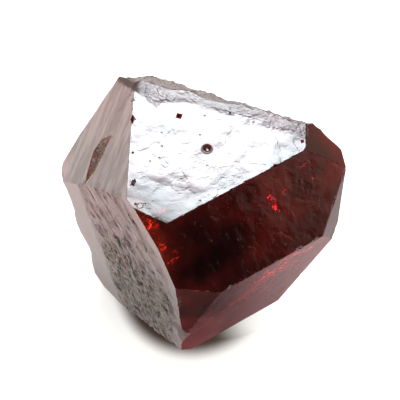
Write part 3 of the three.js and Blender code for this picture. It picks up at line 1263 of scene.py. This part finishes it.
    def nick_edges(
        self, skin: Skin, push: Array, held: list[Array], touching: Array
    ) -> None:
        """Bite small nicks out of the edges between flat faces.

        The bite is the edge depth times the part of the noise above a threshold, and
        goes straight in between the two faces.

        Args:
            skin: the surface.
            push: moves per point, added to here.
            held: per flat face, which points lie on it.
            touching: per point, how many flat faces it lies on.
        """
        inward = np.zeros_like(push)
        for plane, on_plane in zip(self.faces, held):
            inward[on_plane] -= plane.normal
        on_edge = (touching >= 2) & (skin.points[:, 2] > self.rest_level)
        size = np.linalg.norm(inward[on_edge], axis=1)
        direction = inward[on_edge] / size[:, None]
        places = skin.points[on_edge]
        bite = ramp(noise(places * 1.6, Seed.LARGE_NICKS), 0.15, 0.9) + 0.35 * ramp(
            noise(places * 5.0, Seed.SMALL_NICKS), 0.0, 1.0
        )
        push[on_edge] += direction * (self.edge_bite * bite + self.edge_round)[:, None]

    def face_masks(self, skin: Skin) -> dict[str, Array]:
        """Masks that end sharply at an edge, one value per triangle.

        Args:
            skin: the finished surface.

        Returns:
            Mask arrays by name.
        """
        normals = skin.triangle_normals()
        flat = skin.kind == Surface.FACE.value
        marked = skin.kind == Surface.MARK.value
        middle = skin.points[skin.triangles].mean(axis=1)
        return {
            "broken": ~(flat | marked),
            "crust": skin.kind == Surface.FAR_BREAK.value,
            "rosy": flat & (normals @ face_normal(1, -1, 0) > 0.975),
            "dusty": (flat | marked) & (normals @ face_normal(0, 1, -1) > 0.9),
            "upper": (flat | marked) & (normals[:, 2] > 0.97),
            "gouged": marked & (middle[:, 2] < self.mark_level),
        }

    def point_masks(self, skin: Skin) -> dict[str, Array]:
        """Masks with soft borders, one value per point.

        Args:
            skin: the finished surface.

        Returns:
            Mask arrays by name.
        """
        points = skin.points
        normals = skin.triangle_normals()
        total = np.maximum(np.bincount(skin.triangles.ravel(), minlength=len(points)), 1)
        end_only = skin.triangles[skin.kind == Surface.END_BREAK.value].ravel()
        end = np.bincount(end_only, minlength=len(points)) > 0
        # The mask of painted shade and roughness follows the main camera's direction, not the stone's own
        # faces.
        turned_away = skin.triangles[normals @ self.camera_out < self.turned_away].ravel()
        under = np.bincount(turned_away, minlength=len(points)) / total
        reach = points - np.array(self.gouge_centre)
        gouge_normal = face_normal(0, 1, -1)
        across = unit(np.cross((0.0, 0.0, 1.0), gouge_normal))
        along = np.cross(gouge_normal, across)
        span = np.hypot((reach @ across - 0.25 + 0.38 * (reach @ along)) / 0.75,
                        (reach @ along + 0.1) / 2.3)
        near_face = np.abs(reach @ gouge_normal) < 0.6
        stain = near_face * ramp(span + 0.35 * noise(points * 2.2, Seed.STAIN), 1.35, 0.75)
        reach_in = 0.3 + 0.06 * points[:, 0] + 0.35 * noise(points * 0.45, Seed.RIM)
        reach_in += 0.3 * noise(points * 1.3, Seed.FINE_RIM)
        corner = np.hypot(points[:, 0] + 0.9, points[:, 1] - 4.6) / 1.3
        reach_in += 1.2 * np.exp(-(corner**2))
        rim = ramp(self.far_break.height(points) + reach_in, -0.35, 0.25)
        on_top = ramp(self.faces[0].height(points), -0.15, -0.05)
        worn = ramp(points @ unit((-1.0, -0.75, 0.0)) + 0.8 * noise(points * 0.5, Seed.WEAR), 3.4, 6.4)
        for x, y, radius in self.worn_spots:
            hollow = np.hypot(points[:, 0] - x, points[:, 1] - y) / radius
            worn = np.maximum(worn, np.exp(-(hollow**2)))
        return {
            "grainy": end * self.grain_mask(points),
            "fibre": end * self.fibre_mask(points),
            "stain": stain,
            "rim": rim * on_top,
            "brown": self.brown_mask(points),
            "deep": self.painted_shade_mask(points),
            "painted_red_glow": self.painted_red_glow_mask(points),
            "worn": on_top * worn,
            "under": np.clip(under, 0.0, 1.0),
        }

    def build(self) -> bpy.types.Object:
        """Make the crystal's visible mesh.

        Returns:
            The crystal, which stands for the CAD solid.
        """
        skin = self.read_solid()
        self.refine(skin)
        self.roughen(skin)
        mesh = bpy.data.meshes.new("crystal")
        mesh.vertices.add(len(skin.points))
        place = (skin.points + np.array(self.centre)) * MM
        mesh.vertices.foreach_set("co", place.ravel())
        number = len(skin.triangles)
        mesh.loops.add(number * 3)
        mesh.loops.foreach_set("vertex_index", skin.triangles.ravel().astype(np.int32))
        mesh.polygons.add(number)
        mesh.polygons.foreach_set("loop_start", np.arange(0, number * 3, 3, dtype=np.int32))
        smooth = (skin.kind == Surface.END_BREAK.value) | (skin.kind == Surface.FAR_BREAK.value)
        smooth |= skin.kind == Surface.HIDDEN_BREAK.value
        mesh.polygons.foreach_set("use_smooth", smooth)
        mesh.update(calc_edges=True)
        mesh.validate()
        by_domain = {"FACE": self.face_masks(skin), "POINT": self.point_masks(skin)}
        for domain, masks in by_domain.items():
            for name, values in masks.items():
                attribute = mesh.attributes.new(name, "FLOAT", domain)
                attribute.data.foreach_set("value", values.astype(np.float32))
        self.keep_edges_sharp(mesh, skin.kind)
        piece = add_object("crystal", mesh)
        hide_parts(self.node)
        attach(piece, "root")
        LOG.info("crystal: %d triangles", number)
        return piece

    def keep_edges_sharp(self, mesh: bpy.types.Mesh, kind: Array) -> None:
        """Mark the edges between different surfaces, and steep ones, as sharp.

        Args:
            mesh: the crystal's mesh.
            kind: the Surface value of each triangle.
        """
        edge_of = np.empty(len(mesh.loops), dtype=np.int32)
        mesh.loops.foreach_get("edge_index", edge_of)
        face_of = np.repeat(np.arange(len(mesh.polygons)), 3)
        order = np.argsort(edge_of, kind="stable")
        pairs = face_of[order].reshape(-1, 2)
        normals = np.empty(len(mesh.polygons) * 3)
        mesh.polygons.foreach_get("normal", normals)
        normals = normals.reshape(-1, 3)
        bend = np.sum(normals[pairs[:, 0]] * normals[pairs[:, 1]], axis=1)
        differs = kind[pairs[:, 0]] != kind[pairs[:, 1]]
        sharp = np.zeros(len(mesh.edges), dtype=bool)
        sharp[edge_of[order].reshape(-1, 2)[:, 0]] = differs | (bend < self.sharp_cosine)
        attribute = mesh.attributes.get("sharp_edge") or mesh.attributes.new(
            "sharp_edge", "BOOLEAN", "EDGE"
        )
        attribute.data.foreach_set("value", sharp)


@dataclass(frozen=True)
class CrackCluster:
    """A group of inner cracks that lie alike.

    Attributes:
        middle: centre of the group, in millimetres from the crystal's centre.
        spread: how far the cracks scatter along each axis.
        number: how many cracks.
        size: their mean half length.
        facing: direction their flat sides face.
        run: direction they are long in.
        tilt: how unevenly they face.
    """

    middle: Triple
    spread: Triple
    number: int
    size: float
    facing: Triple
    run: Triple = (1.0, 0.0, 0.35)
    tilt: float = 0.07


# Directions half-way between the window light and the main camera inside the stone, by
# the face each is seen through, so that cracks turned so flash in the camera.
UNDER_TOP = (0.024, 0.023, 0.999)
UNDER_CORNER = (-0.237, -0.147, 0.960)
UNDER_EDGE = (-0.127, -0.262, 0.957)
UNDER_SLOPE = (0.012, -0.423, 0.906)
UNDER_FRONT = (0.010, -0.629, 0.777)
UNDER_FRONT_LEFT = (0.028, -0.628, 0.778)
DOWN_SLOPE = (0.2, -0.7, -0.7)


@dataclass
class InnerCracks:
    """Small bright cracks inside the stone, thin as foil, turned to flash in the camera.

    Attributes:
        seed: number that fixes their shapes.
        sides: corners of each crack's outline.
        thickness: thickness of a crack in millimetres.
        centre: the crystal's own centre in the part's frame.
        bounds: planes that every crack stays behind.
        clusters: the groups of cracks.
    """

    seed: int = 9
    sides: int = 9
    thickness: float = 0.004
    centre: Triple = CENTRE
    bounds: list[Plane] = field(default_factory=list)
    clusters: tuple[CrackCluster, ...] = (
        CrackCluster((-6.05, -3.6, 10.05), (0.3, 0.3, 0.2), 36, 0.26, UNDER_CORNER, tilt=0.04),
        CrackCluster((-5.9, -3.5, 9.2), (0.45, 0.7, 0.4), 40, 0.26, UNDER_CORNER),
        CrackCluster((-6.2, -4.8, 9.6), (0.1, 0.3, 0.25), 18, 0.2, UNDER_EDGE, tilt=0.04),
        CrackCluster((-6.2, -5.4, 9.0), (0.1, 0.2, 0.2), 8, 0.22, UNDER_SLOPE, tilt=0.03),
        CrackCluster((-6.2, -6.0, 8.2), (0.25, 0.5, 0.5), 36, 0.22, UNDER_SLOPE),
        CrackCluster((-5.45, -5.77, 8.9), (0.1, 0.1, 0.1), 9, 0.34, UNDER_SLOPE, tilt=0.02),
        CrackCluster((-5.75, -6.0, 8.5), (0.1, 0.1, 0.1), 6, 0.3, UNDER_SLOPE, tilt=0.02),
        CrackCluster((-6.05, -7.1, 7.7), (0.05, 0.05, 0.05), 4, 0.22, UNDER_SLOPE, tilt=0.02),
        CrackCluster(
            (2.0, -5.8, 8.45), (0.05, 0.22, 0.22), 14, 0.34, UNDER_SLOPE, DOWN_SLOPE, tilt=0.015
        ),
        CrackCluster((1.9, -5.4, 8.9), (0.05, 0.05, 0.05), 4, 0.3, UNDER_SLOPE, tilt=0.01),
        CrackCluster((4.9, -4.8, 9.75), (0.12, 0.12, 0.12), 5, 0.25, UNDER_SLOPE, tilt=0.02),
        CrackCluster((5.38, -5.6, 8.55), (0.1, 0.3, 0.3), 5, 0.2, UNDER_SLOPE, tilt=0.03),
        CrackCluster((0.5, -4.8, 8.6), (2.8, 0.8, 0.8), 50, 0.2, UNDER_SLOPE),
        CrackCluster((2.4, -8.25, 5.2), (0.5, 0.05, 0.2), 24, 0.3, UNDER_FRONT, tilt=0.01),
        CrackCluster((0.5, -7.95, 4.3), (0.5, 0.15, 0.2), 60, 0.3, UNDER_FRONT, tilt=0.012),
        CrackCluster((1.9, -7.7, 3.4), (0.5, 0.2, 0.3), 80, 0.3, UNDER_FRONT, tilt=0.012),
        CrackCluster((-0.2, -7.55, 3.0), (0.4, 0.2, 0.3), 70, 0.3, UNDER_FRONT, tilt=0.012),
        CrackCluster((0.9, -6.7, -0.1), (0.3, 0.2, 0.3), 60, 0.34, UNDER_FRONT, tilt=0.015),
        CrackCluster((-2.1, -7.4, 2.3), (0.3, 0.15, 0.2), 36, 0.3, UNDER_FRONT, tilt=0.012),
        CrackCluster((-3.5, -7.55, 2.9), (0.3, 0.1, 0.15), 24, 0.28, UNDER_FRONT_LEFT, tilt=0.01),
        CrackCluster((-4.7, -7.1, 1.45), (0.6, 0.1, 0.12), 60, 0.3, UNDER_FRONT_LEFT, tilt=0.012),
        CrackCluster((0.0, -7.3, 2.6), (2.4, 0.3, 0.8), 90, 0.2, UNDER_FRONT, tilt=0.02),
        CrackCluster((-5.2, -3.5, 10.2), (0.15, 0.1, 0.03), 6, 0.22, UNDER_TOP, tilt=0.03),
        CrackCluster((1.5, -6.8, 6.4), (2.4, 0.6, 0.9), 30, 0.16, UNDER_SLOPE),
    )

    def places(self) -> dict[str, Array]:
        """Centres, sizes and directions of all cracks that lie well inside.

        Returns:
            Arrays by name: centre, length, width, facing and run.
        """
        rng = np.random.default_rng(self.seed)
        groups = []
        for cluster in self.clusters:
            number = cluster.number
            centre = np.array(cluster.middle) + rng.normal(size=(number, 3)) * cluster.spread
            length = cluster.size * rng.uniform(0.4, 1.3, (number, 1))
            width = length * rng.uniform(0.25, 0.6, (number, 1))
            facing = unit(cluster.facing) + cluster.tilt * rng.normal(size=(number, 3))
            run = unit(cluster.run) + 0.25 * rng.normal(size=(number, 3))
            groups.append(np.hstack([centre, length, width, facing, run]))
        data = np.vstack(groups)
        depth = np.max([plane.height(data[:, :3]) for plane in self.bounds], axis=0)
        data = data[depth < -0.2 - 0.7 * data[:, 3]]
        names = {
            "centre": (0, 3),
            "length": (3, 4),
            "width": (4, 5),
            "facing": (5, 8),
            "run": (8, 11),
        }
        return {name: data[:, start:end] for name, (start, end) in names.items()}

    def build(self) -> bpy.types.Object:
        """Make every crack as a thin closed lens with a ragged outline.

        Each crack is a ring of points at an uneven radius round its centre, with one
        point above and one below the middle.

        Returns:
            The cracks as one piece.
        """
        rng = np.random.default_rng(self.seed + 1)
        data = self.places()
        number = len(data["centre"])
        facing = data["facing"] / np.linalg.norm(data["facing"], axis=1)[:, None]
        other = np.cross(facing, data["run"])
        other /= np.linalg.norm(other, axis=1)[:, None]
        side = np.cross(other, facing)
        angle = np.linspace(0, 2 * math.pi, self.sides, endpoint=False)
        radius = rng.uniform(0.6, 1.0, (number, self.sides))
        ring = (
            data["centre"][:, None, :]
            + (radius * np.cos(angle))[..., None] * (data["length"] * side)[:, None, :]
            + (radius * np.sin(angle))[..., None] * (data["width"] * other)[:, None, :]
        )
        lift = facing * self.thickness / 2
        top, bottom = data["centre"] + lift, data["centre"] - lift
        points = np.concatenate([ring, top[:, None], bottom[:, None]], axis=1)
        here = np.arange(self.sides)
        following = (here + 1) % self.sides
        up = np.stack([here, following, np.full(self.sides, self.sides)], axis=1)
        down = np.stack([following, here, np.full(self.sides, self.sides + 1)], axis=1)
        step = (self.sides + 2) * np.arange(number)[:, None, None]
        triangles = (np.vstack([up, down])[None] + step).reshape(-1, 3)
        mesh = bpy.data.meshes.new("inner_cracks")
        place = (points.reshape(-1, 3) + np.array(self.centre)) * MM
        mesh.from_pydata(place.tolist(), [], triangles.tolist())
        mesh.update()
        piece = add_object("inner_cracks", mesh)
        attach(piece, "root")
        LOG.info("inner cracks: %d", number)
        return piece


# ---------------------------------------------------------------- the studio


@dataclass(frozen=True)
class SoftLight:
    """A square soft light that faces the object.

    Attributes:
        name: the light's name.
        azimuth: its azimuth in degrees.
        elevation: its elevation in degrees.
        far: distance from the object in metres.
        size: side length in metres.
        glow: brightness of its surface, 1 being white.
        colour: its colour.
    """

    name: str
    azimuth: float
    elevation: float
    far: float
    size: float
    glow: float
    colour: Colour


COOL: Colour = (0.925, 1.0, 1.05)
WARM: Colour = (1.0, 0.72, 0.60)


@dataclass
class Studio:
    """White table, soft light and the camera.

    Attributes:
        azimuth: camera azimuth in degrees.
        elevation: camera elevation in degrees.
        target: point on the camera's axis, in metres.
        distance: camera to target, in metres.
        lens: focal length in millimetres on a 36 mm sensor.
        sensor: width of the camera's sensor in millimetres.
        clip: nearest and farthest that the camera sees, in metres.
        table_half: half the table's width in metres.
        gamma: gamma of the view.
        bounces: most bounces of a ray, and through the stone.
        gloss_bounces: most mirror bounces.
        room_glow: brightness of the room as it lights the table.
        inner_glow: brightness of the room as seen through the stone.
        mirror_glow: brightness of the room as seen in reflections.
        backdrop_glow: brightness of the room as the camera sees it.
        lights: the soft lights.
    """

    azimuth: float = CAMERA_AZIMUTH
    elevation: float = CAMERA_ELEVATION
    target: Triple = (0.000205, 0.000296, 0.01092)
    distance: float = 0.0874
    lens: float = 105.29
    sensor: float = 36.0
    clip: tuple[float, float] = (0.001, 10.0)
    table_half: float = 1.5
    gamma: float = 0.9
    bounces: int = 24
    gloss_bounces: int = 12
    room_glow: Colour = (1.55, 1.55, 1.55)
    inner_glow: Colour = (0.35, 0.35, 0.35)
    mirror_glow: Colour = (0.015, 0.015, 0.015)
    backdrop_glow: Colour = (0.97, 0.97, 0.97)
    lights: tuple[SoftLight, ...] = (
        SoftLight(
            "window", CAMERA_AZIMUTH + 180.0, CAMERA_ELEVATION - 7.5, 0.5, 0.18, 12.2, COOL
        ),
        SoftLight("front_card_0", 34.5, 21.0, 0.6, 0.36, 0.19, WARM),
        SoftLight("front_card_1", 37.0, 21.0, 0.6, 0.34, 0.19, WARM),
        SoftLight("front_card_2", 39.5, 21.0, 0.6, 0.32, 0.19, WARM),
        SoftLight("side_card", 92.0, 18.0, 0.6, 0.3, 0.42, WARM),
    )

    def axis(self, azimuth: float, elevation: float) -> Array:
        """Direction from the object towards an azimuth and elevation in degrees."""
        a, e = math.radians(azimuth), math.radians(elevation)
        return np.array(
            (math.sin(a) * math.cos(e), -math.cos(a) * math.cos(e), math.sin(e))
        )

    def aim(self, thing: bpy.types.Object, place: Array, at: Array) -> None:
        """Put a thing at a place and turn its -Z to a point.

        Args:
            thing: camera or light.
            place: where it stands.
            at: what it looks at.
        """
        thing.location = Vector(place)
        thing.rotation_euler = Vector(at - place).to_track_quat("-Z", "Y").to_euler()

    def build_camera(self) -> None:
        """Make the camera and make it the scene's own."""
        data = bpy.data.cameras.new("camera")
        data.lens = self.lens
        data.sensor_width = self.sensor
        data.clip_start, data.clip_end = self.clip
        camera = add_object("camera", data)
        target = np.array(self.target)
        self.aim(camera, target + self.distance * self.axis(self.azimuth, self.elevation), target)
        bpy.context.scene.camera = camera

    def build_light(self, light: SoftLight) -> None:
        """Hang a square light; its power is 4 times its glow times its area.

        Args:
            light: the light to hang.
        """
        data = bpy.data.lights.new(light.name, "AREA")
        data.shape = "SQUARE"
        data.size = light.size
        data.energy = 4.0 * light.glow * light.size * light.size
        data.color = light.colour
        lamp = add_object(light.name, data)
        middle = np.array(self.target)
        self.aim(lamp, middle + light.far * self.axis(light.azimuth, light.elevation), middle)

    def build_table(self, finish: FloorFinish) -> None:
        """Make the table as a flat sheet at the height of the rest face.

        Args:
            finish: its finish.
        """
        half = self.table_half
        mesh = bpy.data.meshes.new("table")
        corners = [(-half, -half, 0), (half, -half, 0), (half, half, 0), (-half, half, 0)]
        mesh.from_pydata(corners, [], [(0, 1, 2, 3)])
        mesh.materials.append(finish.build())
        table = add_object("table", mesh)

    def build_world(self) -> None:
        """Give the room a different brightness to each kind of ray."""
        world = bpy.data.worlds.new("room")
        bpy.context.scene.world = world
        world.use_nodes = True
        world.cycles.sampling_method = "NONE"
        tree = world.node_tree
        tree.nodes.clear()
        output = add_node(tree, "ShaderNodeOutputWorld")
        path = add_node(tree, "ShaderNodeLightPath")
        shader = self.backdrop(tree, self.room_glow)
        for ray, glow in (
            ("Is Transmission Ray", self.inner_glow),
            ("Is Glossy Ray", self.mirror_glow),
            ("Is Camera Ray", self.backdrop_glow),
        ):
            mix = add_node(tree, "ShaderNodeMixShader")
            tree.links.new(path.outputs[ray], mix.inputs["Fac"])
            tree.links.new(shader, mix.inputs[1])
            tree.links.new(self.backdrop(tree, glow), mix.inputs[2])
            shader = mix.outputs["Shader"]
        tree.links.new(shader, output.inputs["Surface"])

    def backdrop(
        self, tree: bpy.types.NodeTree, glow: Colour
    ) -> bpy.types.NodeSocket:
        """Add a plain background of one brightness.

        Args:
            tree: the world's tree.
            glow: its brightness per colour, 1 being white.

        Returns:
            The background shader.
        """
        node = add_node(tree, "ShaderNodeBackground")
        node.inputs["Color"].default_value = (*glow, 1.0)
        return node.outputs["Background"]

    def build(self) -> None:
        """Make the whole studio."""
        scene = bpy.context.scene
        scene.view_settings.view_transform = "Standard"
        scene.view_settings.look = "None"
        scene.view_settings.gamma = self.gamma
        scene.cycles.max_bounces = self.bounces
        scene.cycles.transmission_bounces = self.bounces
        scene.cycles.glossy_bounces = self.gloss_bounces
        scene.cycles.blur_glossy = 0.0
        scene.cycles.sample_clamp_indirect = 0.0
        scene.cycles.caustics_reflective = True
        scene.cycles.caustics_refractive = True
        self.build_camera()
        self.build_world()
        self.build_table(FloorFinish())
        for light in self.lights:
            self.build_light(light)


def main() -> None:
    """Build the crystal, its inner cracks and the studio."""
    logging.basicConfig(level=logging.INFO, format="%(name)s %(message)s")
    relief = relief_group()
    stone = Crystal()
    crystal = stone.build()
    crystal.data.materials.append(ZirconFinish().build(relief))
    bounds = stone.faces + [stone.end_break, stone.far_break]
    cracks = InnerCracks(bounds=bounds).build()
    cracks.data.materials.append(CrackFinish().build(relief))
    Studio().build()


if __name__ == "__main__":
    main()
